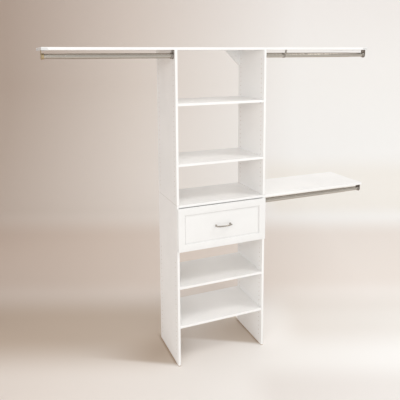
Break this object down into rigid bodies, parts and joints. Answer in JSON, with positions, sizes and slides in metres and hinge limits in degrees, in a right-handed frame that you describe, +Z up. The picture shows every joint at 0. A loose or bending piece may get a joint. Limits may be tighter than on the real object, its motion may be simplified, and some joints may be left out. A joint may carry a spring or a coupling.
{
  "type": "wall mounted closet system",
  "caption": "Shelf tower with a drawer and adjustable shelves, side shelves that reach to both side walls, and telescoping hanging rods.",
  "frame": {"origin": "bottom centre of the box round the whole closet, on the floor", "axes": "+Z up, +Y towards the back wall, +X to the right as seen from the front; the drawer opens along -Y"},
  "size_m": [2.241, 0.416, 2.0945],
  "materials": {
    "white_laminate": "satin white melamine on particle board",
    "drawer_hardboard": "thin white-faced hardboard",
    "beech": "raw beech",
    "brushed_nickel": "satin brushed nickel, warm grey",
    "zinc_plate": "bright zinc plate",
    "runner_enamel": "baked cream white enamel",
    "roller_plastic": "off-white nylon"
  },
  "bodies": {
    "tower": {"cabinet_roller_axles": "zinc_plate", "cabinet_runner_screws": "zinc_plate", "cam_bolts": "zinc_plate", "cam_locks": "zinc_plate", "dowels": "beech", "fixed_lower_shelf": "white_laminate", "fixed_mid_shelf": "white_laminate", "left_cabinet_runner": "runner_enamel", "left_end_tray": "brushed_nickel", "left_gusset": "white_laminate", "left_rod_outer_tube": "brushed_nickel", "left_rod_tower_bracket": "brushed_nickel", "left_rod_wall_bracket": "brushed_nickel", "left_top_shelf": "white_laminate", "lower_adjustable_shelf": "white_laminate", "lower_left_panel": "white_laminate", "lower_right_panel": "white_laminate", "lower_right_side_shelf": "white_laminate", "lower_rod_outer_tube": "brushed_nickel", "lower_rod_tower_bracket": "brushed_nickel", "lower_rod_wall_bracket": "brushed_nickel", "middle_adjustable_shelf": "white_laminate", "right_cabinet_runner": "runner_enamel", "right_end_tray": "brushed_nickel", "right_gusset": "white_laminate", "right_rod_outer_tube": "brushed_nickel", "right_rod_tower_bracket": "brushed_nickel", "right_rod_wall_bracket": "brushed_nickel", "right_top_shelf": "white_laminate", "rod_bracket_screws": "zinc_plate", "rod_support_strap": "brushed_nickel", "shelf_pins": "zinc_plate", "stacking_pins": "zinc_plate", "tower_top_board": "white_laminate", "underside_screws": "zinc_plate", "upper_adjustable_shelf": "white_laminate", "upper_left_panel": "white_laminate", "upper_right_panel": "white_laminate"},
    "drawer": {"drawer_front": "white_laminate", "drawer_left_side": "white_laminate", "drawer_right_side": "white_laminate", "drawer_back": "white_laminate", "drawer_bottom": "drawer_hardboard", "drawer_pull": "brushed_nickel", "pull_screws": "zinc_plate", "drawer_cam_locks": "zinc_plate", "drawer_cam_bolts": "zinc_plate", "drawer_back_screws": "zinc_plate", "left_drawer_runner": "runner_enamel", "right_drawer_runner": "runner_enamel", "drawer_roller_axles": "zinc_plate", "drawer_runner_screws": "zinc_plate"},
    "left_cabinet_roller": {"left_cabinet_roller": "roller_plastic"},
    "left_drawer_roller": {"left_drawer_roller": "roller_plastic"},
    "right_cabinet_roller": {"right_cabinet_roller": "roller_plastic"},
    "right_drawer_roller": {"right_drawer_roller": "roller_plastic"},
    "left_rod_inner": {"left_rod_inner_tube": "brushed_nickel"},
    "right_rod_inner": {"right_rod_inner_tube": "brushed_nickel"},
    "lower_rod_inner": {"lower_rod_inner_tube": "brushed_nickel"}
  },
  "joints": [
    {"name": "drawer_slide", "type": "slide", "parent": "tower", "child": "drawer", "axis": [0, -1, 0], "range_m": [0, 0.265]},
    {"name": "left_cabinet_roller_spin", "type": "hinge", "parent": "tower", "child": "left_cabinet_roller", "pos_m": [-0.3245, -0.1486, 0.8257], "axis": [1, 0, 0], "range_deg": [0, 1780]},
    {"name": "left_drawer_roller_spin", "type": "hinge", "parent": "drawer", "child": "left_drawer_roller", "pos_m": [-0.3216, 0.1739, 0.8257], "axis": [1, 0, 0], "range_deg": [0, 1780]},
    {"name": "right_cabinet_roller_spin", "type": "hinge", "parent": "tower", "child": "right_cabinet_roller", "pos_m": [0.2715, -0.1486, 0.8257], "axis": [1, 0, 0], "range_deg": [0, 1780]},
    {"name": "right_drawer_roller_spin", "type": "hinge", "parent": "drawer", "child": "right_drawer_roller", "pos_m": [0.2686, 0.1739, 0.8257], "axis": [1, 0, 0], "range_deg": [0, 1780]},
    {"name": "left_rod_telescope", "type": "slide", "parent": "tower", "child": "left_rod_inner", "axis": [1, 0, 0], "range_m": [0, 0.12]},
    {"name": "right_rod_telescope", "type": "slide", "parent": "tower", "child": "right_rod_inner", "axis": [-1, 0, 0], "range_m": [0, 0.12]},
    {"name": "lower_rod_telescope", "type": "slide", "parent": "tower", "child": "lower_rod_inner", "axis": [-1, 0, 0], "range_m": [0, 0.12]}
  ],
  "couplings": [
    {"joint": "left_cabinet_roller_spin", "follows": "drawer_slide", "rad_per_m": 116.28},
    {"joint": "left_drawer_roller_spin", "follows": "drawer_slide", "rad_per_m": 116.28},
    {"joint": "right_cabinet_roller_spin", "follows": "drawer_slide", "rad_per_m": 116.28},
    {"joint": "right_drawer_roller_spin", "follows": "drawer_slide", "rad_per_m": 116.28}
  ]
}
